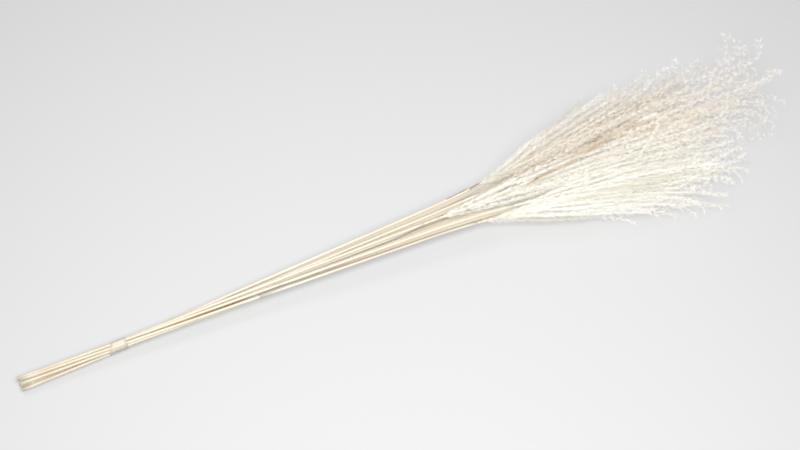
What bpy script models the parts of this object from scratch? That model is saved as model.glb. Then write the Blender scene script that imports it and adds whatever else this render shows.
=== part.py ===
"""A bundle of dried, bleached miscanthus: ten cut stalks bound once with clear tape, lying on a table.

Metres, +Z up. The bundle lies along X, from the cut ends to the tips of the plumes. Distances named
"along" are counted from the cut ends. The origin is the middle of the bundle's box, on the table.
"""

import bmesh
import bpy
import numpy as np

# Binding: the stems are gripped in packed rows and cross there, so the bundle widens both ways
CROSSING_ALONG = 0.090
TAPE_ALONG = 0.099
TAPE_WIDTH = 0.016
TAPE_THICKNESS = 0.0006
TAPE_SIDES = 26
STEMS_IN_ROWS = (3, 2, 3, 2)
STEM_PITCH = 0.0032
CLEARANCE = 0.0003

# Stems
BUTT_RADIUS = 0.00148
NECK_RADIUS = 0.00110
STEM_SIDES = 8
STEM_RINGS = 8
RING_SHIFT = 1.1
BUTT_STAGGER = 0.0022
BUTT_SLANT = 0.35
PRESSED_FLAT = 0.00030

# Spread of the stalks from the crossing, in slot distances per metre, and then the opening of the fan
TWIST = 8.6
STRAY = 0.003
BEND = 0.010
RISE = 0.032
FAN_ALONG = 0.42
FAN_LENGTH = 0.23
FAN_CURVE = 1.5
FAN_OPEN = 1.20
FAN_FLATTEN = 0.22
FAN_DROOP = 0.005
OUTER_DROOP = 1.5

# Plumes: where each starts and ends along the bundle, how far its tip swings to the left, its radius
PLUMES = (
    (0.448, 0.720, 0.002, 0.020),
    (0.456, 0.735, -0.004, 0.020),
    (0.470, 0.680, 0.004, 0.022),
    (0.486, 0.755, -0.020, 0.022),
    (0.476, 0.800, -0.034, 0.046),
    (0.456, 0.722, -0.016, 0.020),
    (0.486, 0.745, -0.010, 0.020),
    (0.412, 0.745, 0.004, 0.020),
    (0.462, 0.698, -0.018, 0.022),
    (0.500, 0.730, 0.004, 0.020),
)

# Branches of a plume (racemes): where they root on the rachis, how they run and end
RACEMES = 9
RACEME_SHARE = 0.62
RACEME_SHARE_STRAY = 0.05
FIRST_ROOT = 0.006
ROOTED_SHARE = 0.36
INNER_REACH = 0.39
SWING_OUT_SHARE = 0.50
RACEME_RADIUS = 0.00050
RING_STEP = 0.0132
WAVE = 0.0010
WAVES = 2.2
CURL_REACH = 0.012
CURL_FROM = 0.72
CURL_STRAY = 0.9
GOLDEN_TURN = np.pi * (3 - np.sqrt(5))
TURN_PER_STALK = 1.3

# Spikelets: pairs drawn out of a raceme between two rings, and none near its root
SPIKELET_REACH = 0.0032
SPIKELET_LEAN = 0.0030
BARE_RINGS = 2

# Rachis
RACHIS_SIDES = 5
RACHIS_RINGS = 7
RACHIS_SHARE = 0.42
RACHIS_TIP_RADIUS = 0.00062

# Outline of a plume: its radius at its start, as a share of the full one, and where it is full
START_FULLNESS = 0.25
FULL_FROM = 0.60

# Room of a plume: its share grows over this length from its start and is given back past its tip
SWELL_LENGTH = 0.055
RELEASE_LENGTH = 0.035
SPIKELET_ROOM = 0.0038
TABLE_ROOM = 0.0030
SETTLED_HEIGHT = 0.0745

# Dark scrap of leaf sheath left below one plume: its outline from its root to its lifted tip
SHEATH_STALK = 2
SHEATH_LENGTH = 0.026
SHEATH_GAP = 0.004
SHEATH_THICKNESS = 0.0008
SHEATH_FACING = (0.0, 0.80, 0.60)
SHEATH_LIFTS = (0.0008, 0.0010, 0.0011, 0.0015, 0.0027)
SHEATH_HALF_WIDTHS = (0.0005, 0.0009, 0.0010, 0.0008, 0.0003)

# Finishes: base colour and roughness
FINISHES = {
    "stem": ((0.80, 0.70, 0.49), 0.35),
    "plume": ((0.86, 0.80, 0.69), 0.75),
    "tape": ((0.86, 0.80, 0.70), 0.20),
}
SMOOTH_UP_TO = np.radians(50)


def clear_scene():
    for thing in list(bpy.data.objects):
        bpy.data.objects.remove(thing)


def material(name):
    colour, roughness = FINISHES[name]
    made = bpy.data.materials.new(name)
    made.use_nodes = True
    surface = made.node_tree.nodes["Principled BSDF"]
    surface.inputs["Base Color"].default_value = (*colour, 1.0)
    surface.inputs["Roughness"].default_value = roughness
    surface.inputs["Metallic"].default_value = 0.0
    return made


def add_mesh(name, points, faces, finish, parent):
    """A mesh object whose faces are turned outwards."""
    mesh = bpy.data.meshes.new(name)
    mesh.from_pydata(np.asarray(points).tolist(), [], faces)
    shell = bmesh.new()
    shell.from_mesh(mesh)
    bmesh.ops.recalc_face_normals(shell, faces=shell.faces)
    shell.to_mesh(mesh)
    shell.free()
    mesh.materials.append(finish)
    made = bpy.data.objects.new(name, mesh)
    bpy.context.scene.collection.objects.link(made)
    made.parent = parent
    return made


def apply_boolean(target, operation, others):
    """Joins the other objects to the target, or cuts them from it, and removes them."""
    group = bpy.data.collections.new("repeats")
    bpy.context.scene.collection.children.link(group)
    for other in others:
        for holder in other.users_collection:
            holder.objects.unlink(other)
        group.objects.link(other)
    join = target.modifiers.new("Join", "BOOLEAN")
    join.operation = operation
    join.operand_type = "COLLECTION"
    join.collection = group
    join.solver = "EXACT"
    graph = bpy.context.evaluated_depsgraph_get()
    joined = bpy.data.meshes.new_from_object(target.evaluated_get(graph))
    target.modifiers.clear()
    target.data = joined
    for other in others:
        bpy.data.objects.remove(other)
    bpy.data.collections.remove(group)


def keep_main_shell(target):
    """Fills pockets that joining has sealed and drops loose scraps: only the largest shell stays."""
    shell = bmesh.new()
    shell.from_mesh(target.data)
    unseen = set(shell.faces)
    shells = []
    while unseen:
        reached = [unseen.pop()]
        for face in reached:
            for edge in face.edges:
                fresh = [near for near in edge.link_faces if near in unseen]
                unseen.difference_update(fresh)
                reached.extend(fresh)
        shells.append(reached)
    shells.sort(key=len)
    scraps = [face for scrap in shells[:-1] for face in scrap]
    bmesh.ops.delete(shell, geom=scraps, context="FACES")
    shell.to_mesh(target.data)
    shell.free()


def shade_round(piece):
    """Smooth shading, kept sharp at the rims and cut faces."""
    piece.data.shade_smooth()
    piece.data.set_sharp_from_angle(angle=SMOOTH_UP_TO)


def stem_slots():
    """(stalk, (y, z)): the middles of the stems where the tape holds them, in close-packed rows."""
    slots = []
    for row, count in enumerate(STEMS_IN_ROWS):
        for column in range(count):
            side = (column - (count - 1) / 2) * STEM_PITCH
            slots.append((side, row * STEM_PITCH * np.sin(np.pi / 3)))
    slots = np.array(slots)
    return slots - slots.mean(axis=0)


def spread_places(along):
    """(stalk, place, (y, z)): the stalks about the middle of the bundle. Each slot moves at right angles
    to its own direction from the middle, as the wires of a hyperboloid do, so the pattern turns and
    grows and no two stalks meet. A little stray keeps it from being regular."""
    slots = stem_slots()
    turned = np.stack([-slots[:, 1], slots[:, 0]], axis=1)
    stray = np.random.default_rng(11).uniform(-STRAY, STRAY, slots.shape)
    run = (along - CROSSING_ALONG)[None, :, None]
    return slots[:, None, :] + run * (TWIST * turned + stray)[:, None, :]


def butt_height():
    """The height of the bundle's middle at the cut ends, where its lowest stem is pressed flat."""
    lowest = spread_places(np.zeros(1))[:, 0, 1].min()
    return BUTT_RADIUS * np.cos(np.pi / STEM_SIDES) - PRESSED_FLAT - lowest


def stalk_places(along):
    """(stalk, place, (y, z)): every stalk's centre line at these distances along the bundle. From
    FAN_ALONG on, the plumes open sideways and settle under their own weight."""
    along = np.asarray(along, float)
    places = spread_places(along)
    fan = (np.clip(along - FAN_ALONG, 0.0, None) / FAN_LENGTH) ** FAN_CURVE
    bend = np.random.default_rng(12).uniform(-BEND, BEND, (len(places), 1, 2))
    bend = bend * ((along - CROSSING_ALONG) ** 2)[:, None]
    side = places[..., 0] * (1 + FAN_OPEN * fan) + bend[..., 0]
    for stalk, (start, tip, swing, _) in enumerate(PLUMES):
        side[stalk] += swing * (np.clip(along - start, 0.0, None) / (tip - start)) ** 2
    height = butt_height() + RISE * along - FAN_DROOP * fan - OUTER_DROOP * side**2
    height = height + places[..., 1] * (1 - FAN_FLATTEN * np.clip(fan, 0.0, 1.0)) + bend[..., 1]
    return np.stack([side, height], axis=-1)


def fullness(stalk, along):
    """How much room a plume claims at each place: it grows from 0 at its start to 1, and falls to 0
    again past its tip."""
    start, tip, _, _ = PLUMES[stalk]
    swell = np.clip((along - start) / SWELL_LENGTH, 0.0, 1.0)
    release = np.clip((tip + RELEASE_LENGTH - along) / RELEASE_LENGTH, 0.0, 1.0)
    return np.minimum(swell, release)


def rooms(stalk, along):
    """[(place, (y, z)), (place)]: directions across the bundle, and how far the plume may reach that way
    before it meets a neighbour or the table, or stands higher than its weight lets it. Two full
    plumes meet midway, and a full plume may reach as far as a bare stem."""
    centres = stalk_places(along)
    own = fullness(stalk, along)
    found = []
    for other in range(len(PLUMES)):
        if other == stalk:
            continue
        gap = centres[other] - centres[stalk]
        distance = np.linalg.norm(gap, axis=1)
        theirs = fullness(other, along)
        past_tip = along > PLUMES[other][1] + RELEASE_LENGTH
        share = 0.5 + 0.5 * (own - theirs)
        room = distance * share - SPIKELET_ROOM - BUTT_RADIUS * (1 - theirs)
        room = np.where(past_tip, 1.0, np.maximum(room, 0.0))
        found.append((gap / distance[:, None], room))
    up = np.tile([0.0, 1.0], (len(along), 1))
    height = centres[stalk][:, 1]
    found.append((-up, np.maximum(height - TABLE_ROOM, 0.0)))
    found.append((up, np.maximum(SETTLED_HEIGHT - height, 0.0)))
    return found


def head_radius(stalk, along, direction):
    """The plume's radius towards one direction: its own swelling profile, held within its room. The
    limits are blended by their fourth powers, so the outline has no corners."""
    start, tip, _, reach = PLUMES[stalk]
    swelling = np.clip((along - start) / (FULL_FROM * (tip - start)), 0.0, 1.0)
    inverse = (1 / (reach * (START_FULLNESS + (1 - START_FULLNESS) * swelling))) ** 4
    for towards, room in rooms(stalk, along):
        facing = np.clip(towards @ direction, 1e-6, None)
        inverse += (facing / np.maximum(room, 1e-5)) ** 4
    return inverse**-0.25


def keep_in_room(stalk, along, offsets):
    """Shortens offsets from the centre line until none leaves the plume's room."""
    share = np.ones(len(along))
    for towards, room in rooms(stalk, along):
        reach = np.sum(offsets * towards, axis=1)
        share = np.where(reach > room, np.minimum(share, room / np.maximum(reach, 1e-9)), share)
    return offsets * share[:, None]


def sweep_frame(line):
    """The direction of a line at each of its points, and two directions square to it."""
    run = np.gradient(line, axis=0)
    run /= np.linalg.norm(run, axis=1)[:, None]
    across = np.array([0.0, 1.0, 0.0]) - run * run[:, 1:2]
    across /= np.linalg.norm(across, axis=1)[:, None]
    return run, across, np.cross(run, across)


def ring_points(line, radii, sides, phase=0.0):
    """(place, side, xyz): a ring of points round each point of a line, and their outward directions."""
    _, across, up = sweep_frame(line)
    turn = phase + 2 * np.pi * np.arange(sides) / sides
    outwards = across[:, None] * np.cos(turn)[:, None] + up[:, None] * np.sin(turn)[:, None]
    return line[:, None, :] + outwards * np.asarray(radii)[:, None, None], outwards


def tube_faces(rings, sides):
    """Quads between rings, with a flat cap at each end."""
    faces = [tuple(range(sides)), tuple(range((rings - 1) * sides, rings * sides))]
    for ring in range(rings - 1):
        for side in range(sides):
            near, far = ring * sides, (ring + 1) * sides
            after = (side + 1) % sides
            faces.append((near + side, near + after, far + after, far + side))
    return faces


def stalk_line(stalk, along):
    """The stalk's centre line as points in space."""
    return np.column_stack([along, stalk_places(along)[stalk]])


def make_stem(stalk, finish, parent):
    """A tapering culm, cut on a slant at the butt and ending square where its plume starts."""
    random = np.random.default_rng(200 + stalk)
    start = random.uniform(-BUTT_STAGGER, BUTT_STAGGER)
    end = PLUMES[stalk][0] - CLEARANCE
    share = np.linspace(0.0, 1.0, STEM_RINGS)
    line = stalk_line(stalk, start + (end - start) * share**RING_SHIFT)
    radii = BUTT_RADIUS + (NECK_RADIUS - BUTT_RADIUS) * share
    points, _ = ring_points(line, radii, STEM_SIDES, np.pi / STEM_SIDES)
    slant = random.uniform(-BUTT_SLANT, BUTT_SLANT, 2)
    points[0, :, 0] += (points[0, :, 1:] - line[0, 1:]) @ slant
    faces = tube_faces(STEM_RINGS, STEM_SIDES)
    return add_mesh(f"stem_{stalk + 1:02d}", points.reshape(-1, 3), faces, finish, parent)


def add_sheath(stem, finish):
    """The scrap of leaf sheath: a thin blade that lies on its stem and lifts off it at the tip."""
    rings = len(SHEATH_LIFTS)
    end = PLUMES[SHEATH_STALK][0] - SHEATH_GAP
    along = np.linspace(end - SHEATH_LENGTH, end, rings)
    outwards = np.array(SHEATH_FACING)
    sideways = np.array([0.0, -outwards[2], outwards[1]])
    line = stalk_line(SHEATH_STALK, along) + outwards * np.array(SHEATH_LIFTS)[:, None]
    edge = sideways * np.array(SHEATH_HALF_WIDTHS)[:, None]
    skin = outwards * SHEATH_THICKNESS / 2
    corners = [line + edge + skin, line - edge + skin, line - edge - skin, line + edge - skin]
    points = np.stack(corners, axis=1).reshape(-1, 3)
    blade = add_mesh("sheath", points, tube_faces(rings, len(corners)), finish, stem.parent)
    apply_boolean(stem, "UNION", [blade])


def flatten_underside(stem):
    """The lowest stem bears on the table: what would dip below it is pressed flat."""
    size = 10 * TAPE_WIDTH
    bpy.ops.mesh.primitive_cube_add(size=size, location=(0.0, 0.0, -size / 2))
    table = bpy.context.object
    table.parent = stem.parent
    apply_boolean(stem, "DIFFERENCE", [table])


def raceme_line(stalk, number, turn, random):
    """One branch of a plume. It leaves the rachis, swings out to its own share of the head's radius,
    runs on nearly straight with a slight wave, and curls away at the tip. The lowest branches swing
    out the furthest, so that they don't cross the later ones."""
    start, tip, _, _ = PLUMES[stalk]
    length = tip - start
    order = number / (RACEMES - 1)
    root = start + FIRST_ROOT + length * ROOTED_SHARE * order
    end = tip
    if number < RACEMES - 1:
        stray = random.uniform(-RACEME_SHARE_STRAY, RACEME_SHARE_STRAY)
        end = min(root + length * (RACEME_SHARE + stray), tip)
    rings = int(round((end - root) / RING_STEP)) + 1
    share = np.linspace(0.0, 1.0, rings)
    along = root + (end - root) * share
    direction = np.array([np.cos(turn), np.sin(turn)])
    reach = np.sqrt(1 - (1 - INNER_REACH**2) * order)
    out = reach * np.sin(np.pi / 2 * np.clip(share / SWING_OUT_SHARE, 0.0, 1.0))
    out = out * head_radius(stalk, along, direction)
    wave = WAVE * share * np.sin(2 * np.pi * (WAVES * share + random.uniform()))
    curl = CURL_REACH * np.clip((share - CURL_FROM) / (1 - CURL_FROM), 0.0, None) ** 2
    curl_turn = turn + random.uniform(-CURL_STRAY, CURL_STRAY)
    curl_direction = np.array([np.cos(curl_turn), np.sin(curl_turn)])
    sideways = np.array([-direction[1], direction[0]])
    offsets = out[:, None] * direction + wave[:, None] * sideways + curl[:, None] * curl_direction
    offsets = keep_in_room(stalk, along, offsets)
    return np.column_stack([along, stalk_places(along)[stalk] + offsets])


def make_raceme(name, line, turn, finish, parent):
    """A three-sided branch that ends in a point, with one side towards the rachis. Between two rings
    each outer side is raised to a point, outwards and forwards, which makes a pair of spikelets. What
    would sink into the table lies on it."""
    rings = len(line) - 1
    points, _ = ring_points(line, np.full(len(line), RACEME_RADIUS), 3, turn)
    run, across, up = sweep_frame(line)
    tip = rings * 3
    vertices = [*points[:rings].reshape(-1, 3), line[-1]]
    faces = [(0, 1, 2), (tip - 3, tip - 2, tip), (tip - 2, tip - 1, tip), (tip - 1, tip - 3, tip)]
    for ring in range(rings - 1):
        for side in range(3):
            near, far, after = 3 * ring + side, 3 * ring + side + 3, (side + 1) % 3 - side
            corners = (near, near + after, far + after, far)
            if side == 1 or ring < BARE_RINGS:
                faces.append(corners[:3])
                faces.append((near, far + after, far))
                continue
            facing = turn + np.pi / 3 + side * 2 * np.pi / 3
            outwards = across[ring + 1] * np.cos(facing) + up[ring + 1] * np.sin(facing)
            apex = line[ring + 1] + outwards * SPIKELET_REACH + run[ring + 1] * SPIKELET_LEAN
            for corner in range(4):
                faces.append((corners[corner], corners[(corner + 1) % 4], len(vertices)))
            vertices.append(apex)
    vertices = np.array(vertices)
    vertices[:, 2] = np.maximum(vertices[:, 2], 0.0)
    return add_mesh(name, vertices, faces, finish, parent)


def make_plume(stalk, finish, parent):
    """One head: the rachis that carries on from its stem, with its racemes fused to it."""
    random = np.random.default_rng(500 + stalk)
    start, tip, _, _ = PLUMES[stalk]
    along = np.linspace(start, start + (tip - start) * RACHIS_SHARE, RACHIS_RINGS)
    radii = np.linspace(NECK_RADIUS, RACHIS_TIP_RADIUS, RACHIS_RINGS)
    points, _ = ring_points(stalk_line(stalk, along), radii, RACHIS_SIDES)
    faces = tube_faces(RACHIS_RINGS, RACHIS_SIDES)
    plume = add_mesh(f"plume_{stalk + 1:02d}", points.reshape(-1, 3), faces, finish, parent)
    racemes = []
    for number in range(RACEMES):
        turn = number * GOLDEN_TURN + stalk * TURN_PER_STALK
        line = raceme_line(stalk, number, turn, random)
        racemes.append(make_raceme(f"raceme_{number}", line, turn, finish, parent))
    apply_boolean(plume, "UNION", racemes)
    keep_main_shell(plume)
    return plume


def make_tie(finish, parent):
    """The tape: a thin band drawn tight round the outer stems. Its wall follows, for each direction, the
    stem that lies furthest that way, so it is flat between stems and round over each one."""
    along = TAPE_ALONG + np.array([-0.5, 0.0, 0.5]) * TAPE_WIDTH
    centres = stalk_places(along)
    direction = 2 * np.pi * (np.arange(TAPE_SIDES) + 0.5) / TAPE_SIDES
    loops = []
    for wall in (CLEARANCE, CLEARANCE + TAPE_THICKNESS):
        for place, distance in enumerate(along):
            turn = direction + np.arctan(TWIST * (distance - CROSSING_ALONG))
            outwards = np.stack([np.cos(turn), np.sin(turn)], axis=1)
            outermost = np.argmax(outwards @ centres[:, place].T, axis=1)
            ring = centres[outermost, place] + outwards * (BUTT_RADIUS + wall)
            loops.append(np.column_stack([np.full(TAPE_SIDES, distance), ring]))
    faces = []
    wall = [0, 1, 2, 5, 4, 3]
    for near, far in zip(wall, wall[1:] + wall[:1]):
        for side in range(TAPE_SIDES):
            after = (side + 1) % TAPE_SIDES
            corners = ((near, side), (near, after), (far, after), (far, side))
            faces.append(tuple(loop * TAPE_SIDES + place for loop, place in corners))
    return add_mesh("tie", np.vstack(loops), faces, finish, parent)


def centre_on_origin(parent):
    """Moves the whole bundle so that the origin is the middle of its box, on the table."""
    corners = [vertex.co for thing in parent.children for vertex in thing.data.vertices]
    low = np.min(corners, axis=0)
    high = np.max(corners, axis=0)
    parent.location = (-(low[0] + high[0]) / 2, -(low[1] + high[1]) / 2, 0.0)


def build():
    clear_scene()
    stem_finish = material("stem")
    plume_finish = material("plume")
    tape_finish = material("tape")
    bundle = bpy.data.objects.new("bundle", None)
    bpy.context.scene.collection.objects.link(bundle)
    stems = [make_stem(stalk, stem_finish, bundle) for stalk in range(len(PLUMES))]
    add_sheath(stems[SHEATH_STALK], stem_finish)
    lowest = int(np.argmin(stalk_places([0.0])[:, 0, 1]))
    flatten_underside(stems[lowest])
    for stem in stems:
        shade_round(stem)
    for stalk in range(len(PLUMES)):
        make_plume(stalk, plume_finish, bundle)
    shade_round(make_tie(tape_finish, bundle))
    centre_on_origin(bundle)


build()
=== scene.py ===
# %% [markdown]
# # A bundle of dried, bleached miscanthus
# Ten cut stalks of a tall grass lie on a pale table, bound once with clear tape, and each ends in a plume.
# The solid model has all of them at their real sizes. This lesson dresses them: round culms with joints and
# cut ends, papery leaf sheaths, a plume of hairy spikelets in place of each plain one, and a film of tape.
# All lengths are metres, +Z is up, and the bundle lies along X.

import bpy
import numpy as np
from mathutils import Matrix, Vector


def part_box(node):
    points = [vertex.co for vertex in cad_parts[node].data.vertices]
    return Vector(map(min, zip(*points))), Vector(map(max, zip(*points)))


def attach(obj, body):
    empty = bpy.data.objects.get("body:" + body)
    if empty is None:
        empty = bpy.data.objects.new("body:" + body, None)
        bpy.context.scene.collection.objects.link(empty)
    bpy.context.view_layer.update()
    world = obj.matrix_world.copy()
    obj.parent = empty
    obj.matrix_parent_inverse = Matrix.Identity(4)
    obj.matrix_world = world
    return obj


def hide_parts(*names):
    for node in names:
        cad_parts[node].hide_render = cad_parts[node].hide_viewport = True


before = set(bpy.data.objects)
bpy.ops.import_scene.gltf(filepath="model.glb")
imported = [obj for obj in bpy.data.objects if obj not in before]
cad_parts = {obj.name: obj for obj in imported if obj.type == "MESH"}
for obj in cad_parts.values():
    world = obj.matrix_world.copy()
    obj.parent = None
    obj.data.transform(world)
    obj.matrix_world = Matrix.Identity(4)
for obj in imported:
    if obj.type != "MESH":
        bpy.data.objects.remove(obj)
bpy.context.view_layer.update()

# %% [markdown]
# ## The layout of the stalks
# A bundle gripped at one point opens both ways, because its stalks cross there like the wires of a
# hyperboloid. The solid model was laid out by that rule. It is written down here again, so that every new
# piece follows its own stalk. Distances named "along" are counted from the cut ends.

# %% Where the stalks run
CROSSING_ALONG = 0.090
TAPE_ALONG = 0.099
TAPE_WIDTH = 0.016
STEMS_IN_ROWS = (3, 2, 3, 2)
STEM_PITCH = 0.0032
BUTT_RADIUS = 0.00148
NECK_RADIUS = 0.00110
PRESSED_FLAT = 0.00030
SOLID_SIDES = 8
TWIST = 8.6
STRAY = 0.003
STRAY_SEED = 11
BEND = 0.010
BEND_SEED = 12
RISE = 0.032
FAN_ALONG = 0.42
FAN_LENGTH = 0.23
FAN_CURVE = 1.5
FAN_OPEN = 1.20
FAN_FLATTEN = 0.22
FAN_DROOP = 0.005
OUTER_DROOP = 1.5

# where each plume starts and ends, how far its tip swings to the left, and its radius
PLUMES = (
    (0.448, 0.720, 0.002, 0.020),
    (0.456, 0.735, -0.004, 0.020),
    (0.470, 0.680, 0.004, 0.022),
    (0.486, 0.755, -0.020, 0.022),
    (0.476, 0.800, -0.034, 0.046),
    (0.456, 0.722, -0.016, 0.020),
    (0.486, 0.745, -0.010, 0.020),
    (0.412, 0.745, 0.004, 0.020),
    (0.462, 0.698, -0.018, 0.022),
    (0.500, 0.730, 0.004, 0.020),
)
STALKS = len(PLUMES)


def stem_slots():
    """(stalk, (y, z)): close-packed rows. A slot is (column from the row's middle * pitch, row * pitch * sin
    of 60 degrees) - the mean of all."""
    slots = np.array([
        ((column - (count - 1) / 2) * STEM_PITCH, row * STEM_PITCH * np.sin(np.pi / 3))
        for row, count in enumerate(STEMS_IN_ROWS)
        for column in range(count)
    ])
    return slots - slots.mean(axis=0)


def spread_places(along):
    """(stalk, place, (y, z)): slot + (along - crossing) * (twist * slot turned a quarter + stray)."""
    slots = stem_slots()
    turned = np.stack([-slots[:, 1], slots[:, 0]], axis=1)
    stray = np.random.default_rng(STRAY_SEED).uniform(-STRAY, STRAY, slots.shape)
    run = (along - CROSSING_ALONG)[None, :, None]
    return slots[:, None, :] + run * (TWIST * turned + stray)[:, None, :]


def butt_height():
    """The bundle's height at the cut ends: radius * cos(half a side's turn) - flat - lowest stem, so that
    the lowest stem's flat spot is at 0."""
    lowest = spread_places(np.zeros(1))[:, 0, 1].min()
    return BUTT_RADIUS * np.cos(np.pi / SOLID_SIDES) - PRESSED_FLAT - lowest


def stalk_places(along):
    """(stalk, place, (y, z)). The fan is ((along - its start) / its length)^curve. Side: spread * (1 + open *
    fan) + bend * (distance from the crossing)^2 + swing * (share of the plume)^2. Height: butt height + rise
    * along - droop * fan - outer droop * side^2 + spread * (1 - flatten * fan) + bend."""
    places = spread_places(along)
    fan = (np.clip(along - FAN_ALONG, 0.0, None) / FAN_LENGTH) ** FAN_CURVE
    bend = np.random.default_rng(BEND_SEED).uniform(-BEND, BEND, (len(places), 1, 2))
    bend = bend * ((along - CROSSING_ALONG) ** 2)[:, None]
    side = places[..., 0] * (1 + FAN_OPEN * fan) + bend[..., 0]
    for stalk, (start, tip, swing, _) in enumerate(PLUMES):
        side[stalk] += swing * (np.clip(along - start, 0.0, None) / (tip - start)) ** 2
    height = butt_height() + RISE * along - FAN_DROOP * fan - OUTER_DROOP * side**2
    height = height + places[..., 1] * (1 - FAN_FLATTEN * np.clip(fan, 0.0, 1.0)) + bend[..., 1]
    return np.stack([side, height], axis=-1)


print(STALKS, "stalks, the longest", max(tip for _, tip, _, _ in PLUMES), "m")

# %% [markdown]
# ## From the layout to the model's own place
# The layout starts at the cut ends, and the solid model is centred on its own box. The tape is in both, so
# it tells how far one lies from the other: its middle in the model less its middle in the layout.

# %% The shift
RING_SAMPLES = 96


def way_of(turn):
    """(cos(turn), sin(turn))."""
    return np.stack([np.cos(turn), np.sin(turn)], axis=-1)


def tape_ring(distance, turn, wall):
    """(direction, (y, z)), the line of a tight band: for each direction, the centre of the stem that is
    furthest that way + direction * (the stem's radius + the wall)."""
    centres = stalk_places(np.array([distance]))[:, 0]
    outwards = way_of(turn)
    outermost = np.argmax(outwards @ centres.T, axis=1)
    return centres[outermost] + outwards * (BUTT_RADIUS + wall)


tie_low, tie_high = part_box("tie")
all_round = np.linspace(0, 2 * np.pi, RING_SAMPLES, endpoint=False)
bands = [tape_ring(TAPE_ALONG + side * TAPE_WIDTH / 2, all_round, 0.0) for side in (-1, 0, 1)]
band_sides = np.concatenate(bands)[:, 0]
SHIFT = np.array([
    (tie_low.x + tie_high.x) / 2 - TAPE_ALONG,
    (tie_low.y + tie_high.y) / 2 - (band_sides.min() + band_sides.max()) / 2,
    0.0,
])
print("the layout is moved by", SHIFT.round(5).tolist())

# %% [markdown]
# ## Objects and materials
# Short helpers put objects into the scene and wire up materials, so each later step says only what is its
# own. No material reads a picture: streaks and clouds are noise, stretched along the piece by its own map.

# %% Helpers for objects and nodes
MAP_NAME = "OFBake"
BUMP_HEIGHT = 0.0002
WHITE = (1.0, 1.0, 1.0)
BLACK = (0.0, 0.0, 0.0)
# a colour mixer's inputs for the share and the two colours, and its output
MIX_SHARE, MIX_FIRST, MIX_SECOND, MIX_RESULT = 0, 6, 7, 2


def put_in_scene(name, data):
    """An object that shows some data, linked into the scene."""
    made = bpy.data.objects.new(name, data)
    bpy.context.scene.collection.objects.link(made)
    return made


def look_along(made, direction):
    """Turns a camera or a lamp, which look along their own -Z, to a direction."""
    made.rotation_mode = "QUATERNION"
    made.rotation_quaternion = direction.to_track_quat("-Z", "Y")


def feed(tree, node, inputs):
    """Gives a node's inputs their values: a socket is linked, and anything else is set."""
    for name, value in inputs.items():
        if isinstance(value, bpy.types.NodeSocket):
            tree.links.new(value, node.inputs[name])
        else:
            node.inputs[name].default_value = value


def add_node(tree, kind, output, inputs, **settings):
    """One output of a new node, with its settings made and then its inputs fed."""
    made = tree.nodes.new("ShaderNode" + kind)
    for name, value in settings.items():
        setattr(made, name, value)
    feed(tree, made, inputs)
    return made.outputs[output]


def new_material(name):
    """A material worked out by nodes, with its tree and its surface node."""
    made = bpy.data.materials.new(name)
    made.use_nodes = True
    return made, made.node_tree, made.node_tree.nodes["Principled BSDF"]


def map_input(tree, scale=(1.0, 1.0, 1.0), offset=(0.0, 0.0, 0.0)):
    """The piece's own map, as scale * map + offset."""
    source = add_node(tree, "UVMap", "UV", {}, uv_map=MAP_NAME)
    return add_node(tree, "Mapping", "Vector", {"Scale": scale, "Location": offset, "Vector": source})


def map_part(tree, axis):
    """One of the map's two numbers: X or Y."""
    return add_node(tree, "SeparateXYZ", axis, {"Vector": map_input(tree)})


def noise(tree, vector, detail, roughness=0.5):
    """Cloudy noise from 0 to 1: the sum over octaves of roughness^octave * noise(2^octave * vector)."""
    inputs = {"Scale": 1.0, "Detail": detail, "Roughness": roughness, "Vector": vector}
    return add_node(tree, "TexNoise", "Fac", inputs)


def ramp(tree, value, stops):
    """A colour for each value, in a straight line from each stop (place, colour) to the next."""
    shown = add_node(tree, "ValToRGB", "Color", {"Fac": value})
    band = shown.node.color_ramp.elements
    while len(band) < len(stops):
        band.new(0.5)
    for element, (place, colour) in zip(band, stops):
        element.position = place
        element.color = (*colour, 1.0)
    return shown


def mix(tree, first, second, share, blend="MIX"):
    """first * (1 - share) + blended * share. The blended colour is the second, or first * second."""
    inputs = {MIX_SHARE: share, MIX_FIRST: first, MIX_SECOND: second}
    return add_node(tree, "Mix", MIX_RESULT, inputs, data_type="RGBA", blend_type=blend)


def remap(tree, value, low, high):
    """low + value * (high - low)."""
    return add_node(tree, "MapRange", "Result", {"Value": value, "To Min": low, "To Max": high})


def add_bump(tree, height, surface, strength):
    """Shades a surface as if it were raised by height * BUMP_HEIGHT, with a given strength."""
    inputs = {"Strength": strength, "Distance": BUMP_HEIGHT, "Height": height}
    feed(tree, surface, {"Normal": add_node(tree, "Bump", "Normal", inputs)})


def shine_through(tree, colour, surface, share):
    """Lets light pass through a thin piece in its own colour: surface * (1 - share) + passed on * share."""
    thin = add_node(tree, "BsdfTranslucent", "BSDF", {"Color": colour})
    both = add_node(tree, "MixShader", "Shader", {"Fac": share, 1: surface.outputs["BSDF"], 2: thin})
    feed(tree, tree.nodes["Material Output"], {"Surface": both})


# %% [markdown]
# ## The camera
# The bundle was photographed with a long lens, from high above its near side. The camera looks at its
# middle from 65 degrees above the table, a little from the side of the cut ends.

# %% The camera
AZIMUTH = np.radians(-22.475)
ELEVATION = np.radians(65.0)
DISTANCE = 1.8
SENSOR = 36.0
WIDTH_SEEN = 0.7792
LENS = SENSOR * DISTANCE / WIDTH_SEEN
LOOKED_AT = SHIFT + [0.3928, 0.0105, 0.02]

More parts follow.
